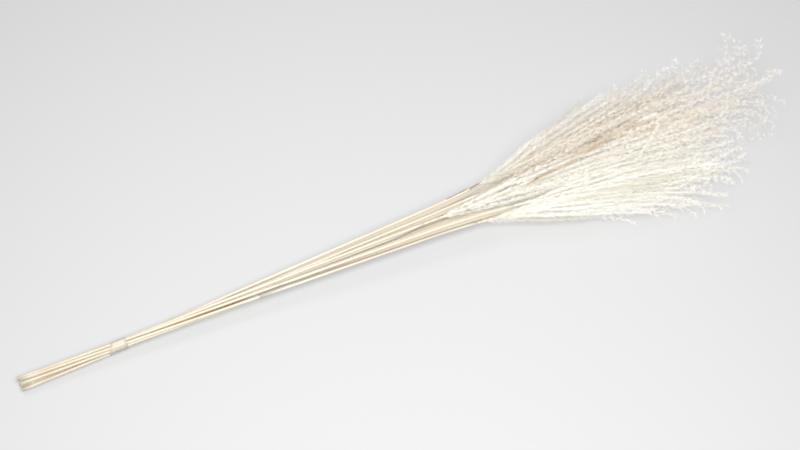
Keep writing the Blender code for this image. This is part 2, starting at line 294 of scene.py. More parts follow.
back = Vector((
    np.sin(AZIMUTH) * np.cos(ELEVATION),
    -np.cos(AZIMUTH) * np.cos(ELEVATION),
    np.sin(ELEVATION),
))
camera = put_in_scene("camera", bpy.data.cameras.new("camera"))
camera.data.lens = LENS
camera.data.sensor_width = SENSOR
camera.location = Vector(LOOKED_AT) + back * DISTANCE
look_along(camera, -back)
bpy.context.scene.camera = camera
print(f"camera: {LENS:.1f} mm lens, {DISTANCE} m away")

# %% [markdown]
# ## The table
# The picture is high key: a near-white table with hardly a shadow. Lamps alone leave the gaps under fine
# fuzz grey, so this is a light table: a mid grey, lifted to near white by a faint glow that fades outwards
# as the picture does. The glow suits the camera's view. From low down, the table looks grey a metre out.

# %% The table
FLOOR_SIZE = 8.0
FLOOR_HEIGHT = -0.0002
TABLE_COLOUR = (0.275, 0.276, 0.280, 1.0)
TABLE_ROUGHNESS = 0.7
GLOW_COLOUR = (0.985, 0.985, 1.0, 1.0)
GLOW = 0.313
GLOW_LOSS = 0.205
GLOW_LEAST = GLOW / 3
GLOW_MIDDLE = (0.02, -0.14, 0.0)


def light_table():
    """A grey table that glows by the greater of GLOW - GLOW_LOSS * (distance from GLOW_MIDDLE)^2 and
    GLOW_LEAST. It isn't sampled as a lamp, as bounced light finds it."""
    made, tree, surface = new_material("table_top")
    place = add_node(tree, "TexCoord", "Object", {})
    offset = add_node(tree, "VectorMath", "Vector", {0: place, 1: GLOW_MIDDLE}, operation="SUBTRACT")
    squared = add_node(tree, "VectorMath", "Value", {0: offset, 1: offset}, operation="DOT_PRODUCT")
    furthest = (GLOW - GLOW_LEAST) / GLOW_LOSS
    fall = {"Value": squared, "From Max": furthest, "To Min": GLOW, "To Max": GLOW_LEAST}
    feed(tree, surface, {
        "Base Color": TABLE_COLOUR,
        "Roughness": TABLE_ROUGHNESS,
        "Emission Color": GLOW_COLOUR,
        "Emission Strength": add_node(tree, "MapRange", "Result", fall),
    })
    made.cycles.emission_sampling = "NONE"
    return made


corners = np.array([[-1, -1, 0], [1, -1, 0], [1, 1, 0], [-1, 1, 0]]) * FLOOR_SIZE / 2
corners[:, 2] = FLOOR_HEIGHT
floor_mesh = bpy.data.meshes.new("table_top")
floor_mesh.from_pydata(corners.tolist(), [], [(0, 1, 2, 3)])
floor_mesh.materials.append(light_table())
floor = put_in_scene("table_top", floor_mesh)
print(f"table: {FLOOR_SIZE} m square")

# %% [markdown]
# ## The light
# A broad soft lamp hangs over the near side of the table, with a gentle fill from all round. A smaller lamp
# behind the bundle draws its soft shadow towards the camera. Pale hairs pass light on many times and are
# finer than a pixel, so light may bounce often, and the picture is smoothed over two pixels.

# %% The light
# name, place, what it shines on, its two sides, watts and colour
LAMPS = (
    ("near_softbox", (-0.22, -0.55, 1.55), (-0.12, -0.20, 0.0), (1.1, 0.9), 47.7, (1.0, 0.99, 0.97)),
    ("back_softbox", (-0.35, 0.8, 1.3), (0.0, 0.0, 0.0), (0.6, 0.4), 4.8, (1.0, 0.97, 0.94)),
)
ROOM = {"Color": (0.96, 0.97, 1.0, 1.0), "Strength": 0.286}

for name, place, aim, sides, watts, colour in LAMPS:
    lamp = bpy.data.lights.new(name, "AREA")
    lamp.shape = "RECTANGLE"
    lamp.size, lamp.size_y = sides
    lamp.energy = watts
    lamp.color = colour
    hung = put_in_scene(name, lamp)
    hung.location = place
    look_along(hung, Vector(aim) - Vector(place))

world = bpy.data.worlds.new("soft_room")
world.use_nodes = True
feed(world.node_tree, world.node_tree.nodes["Background"], ROOM)
bpy.context.scene.world = world
bpy.context.scene.view_settings.view_transform = "Standard"
bpy.context.scene.cycles.max_bounces = 24
bpy.context.scene.cycles.diffuse_bounces = 20
bpy.context.scene.cycles.filter_width = 2.0
print(len(LAMPS), "lamps and a soft fill")

# %% [markdown]
# ## Putting a surface into the scene
# Every new piece is worked out as whole arrays of points and faces. It also gets its map: two numbers at
# each point, along the piece and across it, so its material's streaks follow the stalk.

# %% A piece from arrays
def add_piece(name, points, faces, mapped, finish, slot, replaced=None, smooth=True):
    """A mesh that rides on the model: points (n, 3) + SHIFT, faces (m, 3), and the map, (n, 2) by point or
    (m, 3, 2) by the corners of faces."""
    points = np.asarray(points, np.float32) + SHIFT.astype(np.float32)
    corner_map = mapped if mapped.ndim == 3 else mapped[faces]
    mesh = bpy.data.meshes.new(name)
    mesh.from_pydata(points, [], faces)
    mesh.polygons.foreach_set("use_smooth", np.full(len(faces), smooth))
    layer = mesh.uv_layers.new(name=MAP_NAME)
    layer.data.foreach_set("uv", np.asarray(corner_map, np.float32).ravel())
    mesh.materials.append(finish)
    made = put_in_scene(name, mesh)
    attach(made, "root")
    if replaced:
        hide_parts(replaced)
    print(f"{name}: {len(faces)} faces")


def unit(vectors):
    """Each vector over its own length."""
    return vectors / np.linalg.norm(vectors, axis=-1, keepdims=True)


def turned_from(first, second, turn):
    """first * cos(turn) + second * sin(turn)."""
    return first * np.cos(turn)[..., None] + second * np.sin(turn)[..., None]


def sweep_frame(line):
    """The line's direction at each point of (..., point, 3), and two square to it: Y - run * (run along Y),
    made a unit long, and run x that."""
    run = unit(np.gradient(line, axis=-2))
    across = unit(np.array([0.0, 1.0, 0.0]) - run * run[..., 1:2])
    return run, across, np.cross(run, across)


def as_map(u, v):
    """Map places (n, 2), one for each point of a grid, from its u and its v."""
    return np.stack(np.broadcast_arrays(u, v), axis=-1).reshape(-1, 2)


def alike_mesh(points, pattern):
    """Alike shapes (shape, point, 3): their faces are pattern + points of a shape * the shape's number."""
    count, each = points.shape[:2]
    faces = np.arange(count)[:, None, None] * each + pattern
    return points.reshape(-1, 3), faces.reshape(-1, 3)


def grid_triangles(rows, columns):
    """Two triangles for every square of a grid, whose points are numbered row * columns + column."""
    row, column = np.meshgrid(np.arange(rows - 1), np.arange(columns - 1), indexing="ij")
    here = row * columns + column
    first = np.stack([here, here + columns + 1, here + 1], axis=-1)
    second = np.stack([here, here + columns, here + columns + 1], axis=-1)
    return np.concatenate([first.reshape(-1, 3), second.reshape(-1, 3)])


def tube_mesh(lines, radius, sides):
    """Closed tubes round lines (line, step, 3). A ring is line + radius * (across * cos(turn) + up *
    sin(turn)), and a fan closes each end."""
    count, rings = lines.shape[:2]
    _, across, up = sweep_frame(lines)
    spokes = turned_from(across[:, :, None], up[:, :, None], 2 * np.pi * np.arange(sides) / sides)
    points = lines[:, :, None] + spokes * radius[:, None, None]
    ring, side = np.meshgrid(np.arange(rings - 1), np.arange(sides), indexing="ij")
    after = (side + 1) % sides
    near, far = ring * sides, (ring + 1) * sides
    first = np.stack([near + side, near + after, far + after], axis=-1)
    second = np.stack([near + side, far + after, far + side], axis=-1)
    middle = np.arange(1, sides - 1)
    fan = np.stack([0 * middle, middle, middle + 1], axis=1)
    one = [first.reshape(-1, 3), second.reshape(-1, 3), fan[:, ::-1], fan + (rings - 1) * sides]
    return alike_mesh(points.reshape(count, -1, 3), np.concatenate(one))


def shell_mesh(sheets, u, v):
    """A closed thin shell from an inner and an outer sheet (sheet, row, column, 3), joined by four rims. The
    outer sheet's v is the inner one's + 0.5."""
    rows, columns = sheets.shape[1:3]
    inner = grid_triangles(rows, columns)
    outer = inner[:, ::-1] + rows * columns
    grid = np.arange(2 * rows * columns).reshape(2, rows, columns)
    rims = []
    for near, far in (grid[:, 0, :], grid[:, -1, ::-1], grid[:, ::-1, 0], grid[:, :, -1]):
        rims.append(np.stack([near[:-1], near[1:], far[1:]], axis=1))
        rims.append(np.stack([near[:-1], far[1:], far[:-1]], axis=1))
    mapped = np.concatenate([as_map(u, v), as_map(u, v + 0.5)])
    return sheets.reshape(-1, 3), np.concatenate([inner, outer, *rims]), mapped


def join_meshes(parts):
    """Several meshes as one: each one's faces + the number of points before it."""
    points, faces, mapped = zip(*parts)
    firsts = np.cumsum([0, *map(len, points)])
    faces = [part + first for part, first in zip(faces, firsts)]
    return np.concatenate(points), np.concatenate(faces), np.concatenate(mapped)


# %% [markdown]
# ## Straw and dried leaf
# A culm of miscanthus is a smooth, pith-filled straw, finely streaked along its length and a little glossy.
# Stretched noise gives the streaks, and moves the roughness and a slight bump with them. A broader noise
# lets the colour drift. A dried leaf is made the same way, but matt and thin enough for light to pass.

# %% The materials of the stalks
def make_straw(name, painted_shade):
    """Streaks from dark to pale * a broad drift * a warm band of painted shade on the lower half, standing in
    for the dark line between the upper and lower stems. The sun bleaches a culm more towards its head, and
    the cut end shows pale pith."""
    made, tree, surface = new_material(name)
    streaks = noise(tree, map_input(tree, (14.0, 30.0, 1.0)), 4.0, 0.6)
    drift = noise(tree, map_input(tree, (9.0, 0.6, 1.0), (3.0, 0.0, 0.0)), 2.0)
    place = map_part(tree, "X")
    skin = ramp(tree, streaks, (
        (0.30, (0.40, 0.34, 0.25)),
        (0.45, (0.50, 0.45, 0.36)),
        (0.60, (0.57, 0.53, 0.44)),
        (0.75, (0.66, 0.63, 0.56)),
    ))
    bleached = ramp(tree, streaks, ((0.30, (0.53, 0.47, 0.375)), (0.70, (0.72, 0.68, 0.595))))
    skin = mix(tree, skin, bleached, ramp(tree, place, ((0.20, BLACK), (0.55, WHITE))))
    aged = ramp(tree, drift, ((0.35, (0.92, 0.86, 0.76)), (0.65, WHITE)))
    skin = mix(tree, skin, aged, 0.8, "MULTIPLY")
    # painted shade: a warm dark band from a fifth to two thirds of the way up
    shade_band = ramp(tree, place, ((0.22, WHITE), (0.30, painted_shade), (0.55, painted_shade), (0.66, WHITE)))
    skin = mix(tree, skin, shade_band, 1.0, "MULTIPLY")
    cut = ramp(tree, place, ((0.044, WHITE), (0.049, BLACK)))
    pith = ramp(tree, streaks, ((0.35, (0.74, 0.68, 0.55)), (0.60, (0.92, 0.88, 0.79))))
    add_bump(tree, streaks, surface, 0.25)
    feed(tree, surface, {
        "Base Color": mix(tree, skin, pith, cut),
        "Roughness": remap(tree, streaks, 0.50, 0.34),
        "Coat Weight": 0.12,
        "Coat Roughness": 0.25,
    })
    return made


def make_papery(name, dark, pale, share):
    """A dried leaf sheath: fine lengthwise veins from dark to pale, and a share of the light let through."""
    made, tree, surface = new_material(name)
    veins = noise(tree, map_input(tree, (5.0, 34.0, 1.0)), 3.0, 0.6)
    colour = ramp(tree, veins, ((0.34, dark), (0.60, pale)))
    feed(tree, surface, {"Base Color": colour, "Roughness": remap(tree, veins, 0.7, 0.45)})
    add_bump(tree, veins, surface, 0.4)
    shine_through(tree, colour, surface, share)
    return made


STRAW = make_straw("straw", WHITE)
# the second straw carries a warm band of painted shade, for the dark line between the stems
PAINTED_SHADE_STRAW = make_straw("straw_with_painted_shade", (0.52, 0.35, 0.18))
PAPER = make_papery("bleached_sheath", (0.45, 0.402, 0.32), (0.58, 0.535, 0.45), 0.15)
# a near-black sheath colour: painted shade for a dark gap among the top stems
PAINTED_SHADE_SHEATH = make_papery("painted_shade_sheath", (0.12, 0.09, 0.07), (0.30, 0.23, 0.17), 0.10)
print("materials:", *(made.name for made in (STRAW, PAINTED_SHADE_STRAW, PAPER, PAINTED_SHADE_SHEATH)))

# %% [markdown]
# ## The culms
# A culm tapers from its cut butt to the plume, with a joint every hand's breadth. A plain cylinder would
# lack the joints, the faint ribs and the slanting cut, so each culm is a stack of rings round its stalk's
# line, with more rings at a joint. Two inner culms carry a warm band of painted shade.

# %% The culms
PAINTED_SHADE_STALKS = (3, 6)
CULM_SEED = 200
BUTT_STAGGER = 0.0022
BUTT_SLANT = 0.35
CULM_OVERLAP = 0.001
CULM_SIDES = 16
CULM_RINGS = 72
RIBS = 5
RIB_DEPTH = 0.020
JOINTS = 2
JOINT_EVERY = (0.13, 0.19)
JOINT_LENGTH = 0.0016
JOINT_REACH = 3
JOINT_RINGS = 13
JOINT_SWELL = 0.07
CULM_MAP = (0.05, 0.90)
HUB_MAP = ((0.02, 0.5), (0.98, 0.5))


def make_culm(stalk):
    """Rings (ring, side, 3) round the stalk's line, each with its first side again at the end, and their
    shares along. Radius: (from butt to neck) * (1 + swell * e^-(distance from a joint / its length)^2) *
    (1 + depth * cos(ribs * turn)). The butt moves along by its place in the ring * the slant."""
    random = np.random.default_rng(CULM_SEED + stalk)
    start = random.uniform(-BUTT_STAGGER, BUTT_STAGGER)
    slant = random.uniform(-BUTT_SLANT, BUTT_SLANT, 2)
    end = PLUMES[stalk][0] + CULM_OVERLAP
    joints = start + np.cumsum(random.uniform(*JOINT_EVERY, JOINTS))
    beside = JOINT_LENGTH * np.linspace(-JOINT_REACH, JOINT_REACH, JOINT_RINGS)
    near_joints = (joints[:, None] + beside).ravel()
    evenly = np.linspace(start, end, CULM_RINGS - len(near_joints))
    along = np.sort(np.concatenate([evenly, near_joints]))
    share = (along - start) / (end - start)
    swell = np.exp(-(((along[:, None] - joints) / JOINT_LENGTH) ** 2)).sum(axis=1)
    radius = (BUTT_RADIUS + (NECK_RADIUS - BUTT_RADIUS) * share) * (1 + JOINT_SWELL * swell)
    line = np.column_stack([along, stalk_places(along)[stalk]])
    _, across, up = sweep_frame(line)
    turn = 2 * np.pi * np.arange(CULM_SIDES + 1) / CULM_SIDES - np.pi / 2
    rib = 1 + RIB_DEPTH * np.cos(RIBS * turn)
    spoke = turned_from(across[:, None], up[:, None], turn)
    points = line[:, None] + spoke * (radius[:, None] * rib)[..., None]
    points[0, :, 0] += (points[0, :, 1:] - line[0, 1:]) @ slant
    points[..., 2] = np.maximum(points[..., 2], 0.0)
    return points, share


def close_culm(points, share):
    """Points, faces and map by corner. A fan round a middle point closes each end, and the last column is
    welded onto the first: point = ring * sides + column modulo sides."""
    rings, columns = points.shape[:2]
    sides = columns - 1
    mapped = as_map(share[:, None], np.linspace(0, 1, columns)) * CULM_MAP[1] + CULM_MAP[0]
    mapped = np.concatenate([mapped, HUB_MAP])
    rim = np.arange(sides)
    far_rim = (rings - 1) * columns + rim
    hub = np.full(sides, rings * columns)
    faces = np.concatenate([
        grid_triangles(rings, columns)[:, ::-1],
        np.stack([rim + 1, rim, hub], axis=1),
        np.stack([far_rim, far_rim + 1, hub + 1], axis=1),
    ])
    seam = np.arange(rings)[:, None] * sides + np.arange(columns) % sides
    welded = np.append(seam.ravel(), rings * sides + np.arange(2))
    hubs = points[[0, -1], :-1].mean(axis=1)
    return np.concatenate([points[:, :-1].reshape(-1, 3), hubs]), welded[faces], mapped[faces]


for stalk in range(STALKS):
    straw = PAINTED_SHADE_STRAW if stalk in PAINTED_SHADE_STALKS else STRAW
    name = f"culm_{stalk + 1:02d}"
    add_piece(name, *close_culm(*make_culm(stalk)), straw, "stem", f"stem_{stalk + 1:02d}")

# %% [markdown]
# ## Leaf sheaths
# Leaf sheaths wrap the culms of miscanthus. Dried, some stay on below the plumes as long papery strips,
# wrapped round the culm at one end and open beside it at the other. An arc that always touches the culm
# makes both: as its radius grows, the tube opens into a strip. Two near-black bits on the third stalk are
# painted shade, for a dark gap among the top stems there.

# %% The sheaths
SHEATH_ROWS = 44
SHEATH_COLUMNS = 9
SHEATH_THICKNESS = 0.00016
SHEATH_GAP = 0.00008
SHEATH_WRAP = 2.5
SHEATH_OPENING = 5.0
OPENING_POWER = 1.2
TORN_SHARE = 0.16
TORN_POWER = 0.7
TORN_LEAST = 0.02
# stalk, where the strip starts and ends, the side it lies on, half its width, and its lean to one side
SHEATHS = (
    (2, 0.125, 0.505, 290, 0.0032, -0.9),
    (4, 0.225, 0.490, 290, 0.0032, -0.5),
    (1, 0.240, 0.486, 290, 0.0034, -0.4),
    (0, 0.245, 0.474, 293, 0.0034, 0.0),
    (7, 0.140, 0.418, 290, 0.0026, -0.3),
    (3, 0.240, 0.500, 290, 0.0034, 0.0),
    (6, 0.230, 0.502, 296, 0.0034, 0.0),
    (9, 0.260, 0.514, 288, 0.0035, -0.2),
    (5, 0.240, 0.480, 293, 0.0034, 0.7),
    (8, 0.240, 0.466, 296, 0.0026, 0.9),
)
# the same, and how far the end lifts off the culm; these near-black bits are painted shade
PAINTED_SHADE_BITS = {
    "painted_shade_scrap": (2, 0.444, 0.467, 40, 0.0010, 0.0, 0.0006),
    "painted_shade_flake": (2, 0.469, 0.480, 80, 0.0007, 0.0, 0.0014),
}


def make_sheath(stalk, first, last, facing, half_width, over, lift=0.0):
    """Arcs that touch the culm on its facing side, of radius culm * (1 + opening * share^1.2), and reach
    half_width * torn^0.7 / radius either way. Their middles lie culm - radius + lift * share^3 towards the
    facing side."""
    share = np.linspace(0.0, 1.0, SHEATH_ROWS)
    along = first + (last - first) * share
    culm = BUTT_RADIUS + (NECK_RADIUS - BUTT_RADIUS) * along / PLUMES[stalk][0] + SHEATH_GAP
    radius = culm * (1 + SHEATH_OPENING * share**OPENING_POWER)
    torn = np.clip((1 - share) / TORN_SHARE, TORN_LEAST, 1.0) ** TORN_POWER
    wrap = np.minimum(half_width * torn / radius, SHEATH_WRAP)
    side = np.radians(facing)
    turn = side + (np.linspace(-1, 1, SHEATH_COLUMNS) + over) * wrap[:, None]
    touching = (culm - radius + lift * share**3)[:, None] * way_of(side)
    middle = stalk_places(along)[stalk] + touching
    walls = np.array([0.0, SHEATH_THICKNESS])[:, None, None]
    ring = (radius[:, None] + walls)[..., None] * way_of(turn) + middle[:, None]
    ring[..., 1] = np.maximum(ring[..., 1], 0.0)
    place = np.broadcast_to(along[:, None, None], (*ring.shape[:3], 1))
    sheets = np.concatenate([place, ring], axis=-1)
    return shell_mesh(sheets, 0.05 + 0.9 * share[:, None], np.linspace(0.05, 0.45, SHEATH_COLUMNS))


for number, strip in enumerate(SHEATHS):
    add_piece(f"sheath_{number + 1:02d}", *make_sheath(*strip), PAPER, "stem")
for name, strip in PAINTED_SHADE_BITS.items():
    add_piece(name, *make_sheath(*strip), PAINTED_SHADE_SHEATH, "stem")

# %% [markdown]
# ## The room of a head
# A plume of miscanthus is a sheaf of long thin branches, its racemes. Ten plumes press on each other and on
# the table here, and none can spread as it would alone. The solid plumes share out the space by a rule, and
# the dressed ones keep to it: each neighbour, the table and a settled height are limits, and the head's
# radius gives way smoothly to the nearest.

# %% The room of a head
SWELL_LENGTH = 0.038
RELEASE_LENGTH = 0.035
MESHING = (0.0004, 0.0032)
TABLE_ROOM = 0.0030
SETTLED_HEIGHT = 0.0745
START_FULLNESS = 0.35
FULL_FROM = 0.60
NO_LIMIT = 1.0
ROUNDING = 6


def fullness(stalk, along):
    """The lesser of (along - start) / swell length and (tip + release length - along) / release length, kept
    from 0 to 1: a plume fills up from its start and empties past its tip."""
    start, tip, _, _ = PLUMES[stalk]
    swell = np.clip((along - start) / SWELL_LENGTH, 0.0, 1.0)
    release = np.clip((tip + RELEASE_LENGTH - along) / RELEASE_LENGTH, 0.0, 1.0)
    return np.minimum(swell, release)


def rooms(stalk, along):
    """[(direction, room)]. Towards a stalk the room is distance * (0.5 + 0.5 * (own - their fullness)) +
    meshing - radius * (1 - their fullness), so two full plumes meet midway and mesh a little. Downwards the
    table is the limit, and upwards the settled height."""
    centres = stalk_places(along)
    own = fullness(stalk, along)
    start, tip, _, _ = PLUMES[stalk]
    meshing = np.interp(along, (start, tip), MESHING)
    found = []
    for other in range(STALKS):
        if other == stalk:
            continue
        gap = centres[other] - centres[stalk]
        distance = np.linalg.norm(gap, axis=1)
        theirs = fullness(other, along)
        past_tip = along > PLUMES[other][1] + RELEASE_LENGTH
        room = distance * (0.5 + 0.5 * (own - theirs)) + meshing - BUTT_RADIUS * (1 - theirs)
        room = np.where(past_tip, NO_LIMIT, np.maximum(room, 0.0))
        found.append((gap / distance[:, None], room))
    up = np.tile([0.0, 1.0], (len(along), 1))
    height = centres[stalk][:, 1]
    found.append((-up, np.maximum(height - TABLE_ROOM, 0.0)))
    found.append((up, np.maximum(SETTLED_HEIGHT - height, 0.0)))
    return found


def head_radius(stalk, along, direction, limits):
    """The radius towards a direction: (sum of (facing / limit)^6)^(-1/6) over its own profile and rooms."""
    start, tip, _, reach = PLUMES[stalk]
    swelling = np.clip((along - start) / (FULL_FROM * (tip - start)), 0.0, 1.0)
    inverse = (1 / (reach * (START_FULLNESS + (1 - START_FULLNESS) * swelling))) ** ROUNDING
    for towards, room in limits:
        facing = np.clip(towards @ direction, 1e-6, None)
        inverse = inverse + (facing / np.maximum(room, 1e-5)) ** ROUNDING
    return inverse ** (-1 / ROUNDING)


def keep_in_room(offsets, limits):
    """Offsets from the centre line, times the least room / reach wherever one reaches past its room."""
    share = np.ones(len(offsets))
    for towards, room in limits:
        reach = np.sum(offsets * towards, axis=1)
        share = np.where(reach > room, np.minimum(share, room / np.maximum(reach, 1e-9)), share)
    return offsets * share[:, None]


# %% [markdown]
# ## The course of a branch
# A raceme leaves the stalk at a narrow angle, swings out, and runs on nearly straight until its own weight
# bends the tail and curls the very end. A curve drawn by hand would do for one. There are more than three
# hundred, so one formula gives each its course, and random numbers make it its own. The fifth plume is
# airy: its branches wave and hook more, and leave its upper side open.

# %% The course of a branch
RACEMES = (27, 27, 35, 28, 56, 32, 28, 35, 39, 34)
STEPS = 38
RACEME_SHARE = 0.62
RACEME_SHARE_STRAY = 0.07
FIRST_ROOT = 0.006
ROOTED_SHARE = 0.36
INNER_REACH = 0.18
SWING_OUT_SHARE = 0.44
GOLDEN_TURN = np.pi * (3 - np.sqrt(5))
TURN_PER_STALK = 1.3
WAVE = 0.0009
WAVE_COUNTS = (2.2, 3.1)
TAIL_FROM = 0.72
TAIL_BEND = (0.05, 0.40)
TAIL_POWER = 1.4
HOOK_FROM = 0.86
HOOK_BEND = (0.2, 1.0)
HOOK_POWER = 1.5
SIDE_STRAY = 1.2
LOWEST_LINE = 0.0012
SETTLED_SLACK = 0.003
AIRY_STALK = 4
AIRY_WAVE = 0.0030
AIRY_STRETCH = 0.12
AIRY_TAIL_BEND = 0.5
AIRY_TAIL_EARLIER = 0.17
AIRY_HOOK_BEND = (0.4, 1.8)
OPEN_RACEMES = 15
OPEN_HALF = np.radians(50)
TOWARDS_EYE = np.radians(113)


def bend_tail(line, share, start, bend, hook, side_turn):
    """Past the start share each step keeps its length and turns to one side by bend * tail^1.4 + hook *
    last^1.5, where tail and last run from 0 to 1 along the end and its last part. The steps are then summed
    again."""
    run, across, up = sweep_frame(line)
    side = turned_from(across, up, side_turn)
    tail = np.clip((share - start) / (1 - start), 0.0, 1.0)
    last = np.clip((share - HOOK_FROM) / (1 - HOOK_FROM), 0.0, 1.0)
    way = turned_from(run, side, bend * tail**TAIL_POWER + hook * last**HOOK_POWER)
    steps = np.linalg.norm(np.diff(line, axis=0), axis=1)[:, None]
    moved = line[:1] + np.concatenate([np.zeros((1, 3)), np.cumsum(way[:-1] * steps, axis=0)])
    return np.where(tail[:, None] > 0, moved - moved[tail <= 0][-1] + line[tail <= 0][-1], line)


def raceme_turn(stalk, number):
    """The side that a branch leaves from: number * golden turn + stalk * its own turn. The lowest branches
    of an airy head keep off its upper side."""
    turn = (number * GOLDEN_TURN + stalk * TURN_PER_STALK) % (2 * np.pi)
    if stalk == AIRY_STALK and number < OPEN_RACEMES:
        turn = TOWARDS_EYE + OPEN_HALF + turn / (2 * np.pi) * (2 * np.pi - 2 * OPEN_HALF)
    return turn


def raceme_line(stalk, number, airy, random):
    """One branch. It swings out by radius * reach * sin(quarter turn * share / swing share), where reach^2 =
    1 - (1 - inner^2) * its order. It runs on with two waves of share * wave * sin, its tail bends aside and
    hooks, and a rise above the settled height is pressed down to slack * tanh(rise / slack)."""
    start, tip, _, _ = PLUMES[stalk]
    length = tip - start
    order = number / (RACEMES[stalk] - 1)
    root = start + FIRST_ROOT + length * ROOTED_SHARE * order
    stray = random.uniform(-RACEME_SHARE_STRAY, RACEME_SHARE_STRAY)
    end = min(root + length * (RACEME_SHARE + stray + AIRY_STRETCH * airy), tip)
    share = np.linspace(0.0, 1.0, STEPS)
    along = root + (end - root) * share
    turn = raceme_turn(stalk, number)
    direction = way_of(turn)
    sideways = np.array([-direction[1], direction[0]])
    limits = rooms(stalk, along)
    reach = np.sqrt(1 - (1 - INNER_REACH**2) * order)
    out = reach * np.sin(np.pi / 2 * np.clip(share / SWING_OUT_SHARE, 0.0, 1.0))
    out = out * head_radius(stalk, along, direction, limits)
    phases = random.uniform(0, 2 * np.pi, 2)
    height = share * (WAVE + AIRY_WAVE * airy)
    first_wave, second_wave = (
        height * np.sin(2 * np.pi * count * share + phase) for count, phase in zip(WAVE_COUNTS, phases)
    )
    offsets = (out + second_wave)[:, None] * direction + first_wave[:, None] * sideways
    offsets = keep_in_room(offsets, limits)
    line = np.column_stack([along, stalk_places(along)[stalk] + offsets])
    bend = random.uniform(*TAIL_BEND) + airy * random.uniform(0.0, AIRY_TAIL_BEND)
    hook = random.uniform(*HOOK_BEND) + airy * random.uniform(*AIRY_HOOK_BEND)
    side_turn = turn + random.uniform(-SIDE_STRAY, SIDE_STRAY)
    line = bend_tail(line, share, TAIL_FROM - AIRY_TAIL_EARLIER * airy, bend, hook, side_turn)
    line[:, 2] = np.maximum(line[:, 2], LOWEST_LINE)
    above = np.maximum(line[:, 2] - SETTLED_HEIGHT, 0.0)
    line[:, 2] -= above - SETTLED_SLACK * np.tanh(above / SETTLED_SLACK)
    return line


# %% [markdown]
# ## Husks and hairs
# Each raceme carries a pair of husks, the spikelets, every few millimetres, and each wears a tuft of silky
# hairs. Particle hair would look right but wouldn't be a surface, so every hair is a sliver of four
# triangles, and every husk has eight. The map's u runs along each branch in a strip of its own, and its v
# tells what a point lies on: the branch up to 0.1, a husk to 0.42, and a hair to 0.97 at its tip.

# %% Husks and hairs on the branches
BARE_STEPS = 1
HUSK_LENGTH = 0.0050
HUSK_LENGTHS = (0.85, 1.15)
HUSK_SHRINK = 0.35
HUSK_HALF_WIDTH = 0.00016
HUSK_WIDEST = 0.4
HUSK_ROOM = 1.2
HUSK_LEAN = (0.10, 0.36)
END_LEAN = 0.70
TURN_STRAY = 0.5
STALKLET = (0.0006, 0.0022)
HUSK_SLIDE = 0.0012
HUSK_FACES = np.array([
    (0, 2, 1), (0, 3, 2), (0, 4, 3), (0, 1, 4),
    (5, 1, 2), (5, 2, 3), (5, 3, 4), (5, 4, 1),
])
HUSK_U = 0.003 * np.array([0.0, 1.0, 0.3, -1.0, -0.3, 0.0])
HUSK_V = np.array([0.12, 0.24, 0.25, 0.24, 0.25, 0.42])
HAIRS = 8
HAIR_LENGTH = 0.0076
HAIR_LENGTHS = (0.75, 1.2)
HAIR_SHRINK = 0.4
HAIR_RADIUS = 0.000122
HAIR_THINNING = 0.2
HAIR_SLIDE = 0.0022
HAIR_START = 0.0003
CONE = (0.05, 0.50)
CONE_CLOSING = 0.2
HAIR_FACES = np.array([(0, 2, 1), (0, 1, 3), (1, 2, 3), (2, 0, 3)])
HAIR_U = 0.002 * np.array([-1.0, 1.0, 0.0, 0.0])
HAIR_V = np.array([0.45, 0.45, 0.43, 0.97])
RACEME_RADIUS = 0.00024
RACEME_SIDES = 3
RACEME_TAPER = 0.7
RACEME_V = np.array([0.03, 0.06, 0.09])
RACHIS_SIDES = 8
RACHIS_RINGS = 24
RACHIS_SHARE = 0.62
RACHIS_TIP = 0.0003
TABLE_SKIN = 0.0003
# shares along a branch, and the chance of a husk or a hair at each
ALL_HUSKS = ((0.0, 0.25), (0.5, 1.0))
TIP_HUSKS = ((0.60, 1.0), (1.0, 0.35))
TIP_HAIRS = ((0.60, 1.0), (1.0, 0.70))
AIRY_HAIRS = ((0.25, 0.7), (0.9, 0.58))


def square_frame(direction, random):
    """Two unit directions square to each given one: direction x a random vector, and direction x that."""
    first = unit(np.cross(direction, random.normal(size=direction.shape)))
    return first, np.cross(direction, first)


def strip_places(count, share):
    """Each branch's u: (its number + 0.1 + 0.8 * share) / count."""
    return (np.arange(count)[:, None] + 0.1 + 0.8 * share) / count


def spikelets(lines, random, chance):
    """Bases, directions, u and shares of the husks on lines (raceme, step, 3). Two leave each step on
    opposite sides and lean out by U(0.10, 0.36) + U(0, 0.70) * share^2. A base is line + direction *
    stalklet + run * slide. Some are left out by chance, and all that would dip into the table."""
    share = np.linspace(0, 1, lines.shape[1])[BARE_STEPS:]
    run, across, up, lines = (part[:, BARE_STEPS:] for part in (*sweep_frame(lines), lines))
    count = lines.shape[:2]
    share = np.broadcast_to(share, count)
    turn = random.uniform(0, 2 * np.pi, count)
    bases, directions = [], []
    for side in range(2):
        phi = turn + np.pi * side + random.uniform(-TURN_STRAY, TURN_STRAY, count)
        lean = random.uniform(*HUSK_LEAN, count) + random.uniform(0.0, END_LEAN, count) * share**2
        direction = turned_from(run, turned_from(across, up, phi), lean)
        stalklet = random.uniform(*STALKLET, count)[..., None]
        slide = random.uniform(-HUSK_SLIDE, HUSK_SLIDE, count)[..., None]
        bases.append((lines + direction * stalklet + run * slide).reshape(-1, 3))
        directions.append(direction.reshape(-1, 3))
    bases, directions = np.concatenate(bases), np.concatenate(directions)
    places = np.tile(strip_places(len(lines), share).ravel(), 2)
    shares = np.tile(share.ravel(), 2)
    kept = random.uniform(size=len(shares)) < np.interp(shares, *chance)
    kept &= bases[:, 2] + directions[:, 2] * HUSK_LENGTH * HUSK_ROOM > TABLE_SKIN
    return bases[kept], directions[kept], places[kept], shares[kept]


